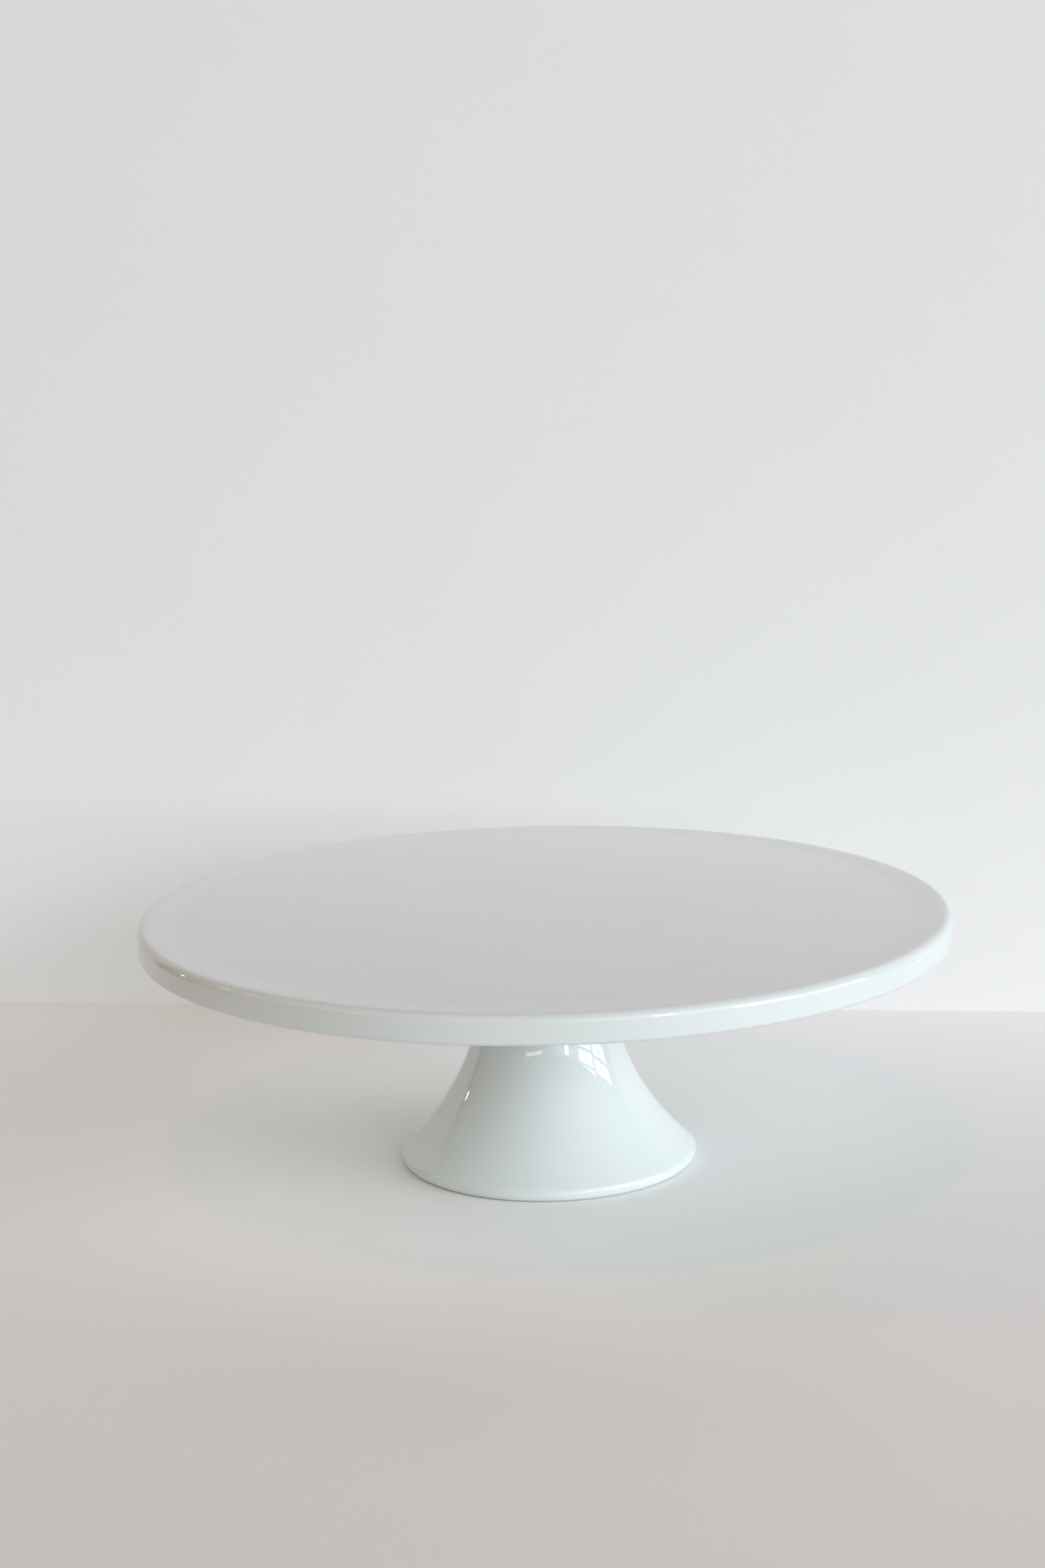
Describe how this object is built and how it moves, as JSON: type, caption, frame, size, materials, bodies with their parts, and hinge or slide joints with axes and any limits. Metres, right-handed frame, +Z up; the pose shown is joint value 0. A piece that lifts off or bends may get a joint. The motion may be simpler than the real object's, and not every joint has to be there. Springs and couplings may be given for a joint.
{
  "type": "cake stand",
  "caption": "Round white glazed porcelain cake stand: flat plate with a soft lip and turned-down rim on a flared hollow trumpet pedestal.",
  "frame": {"origin": "centre of the foot's standing ring, on the table", "axes": "+Z up along the axis of revolution; X and Y lie in the table and are equal"},
  "size_m": [0.3, 0.3, 0.096],
  "materials": {
    "plate_porcelain": "white porcelain under a clear gloss glaze",
    "joining_slip": "fired porcelain slip under the same clear glaze",
    "pedestal_porcelain": "white porcelain under a clear gloss glaze, bare biscuit on the foot ring"
  },
  "bodies": {
    "root": {"plate": "plate_porcelain", "slip_joint": "joining_slip", "pedestal": "pedestal_porcelain"}
  },
  "joints": []
}
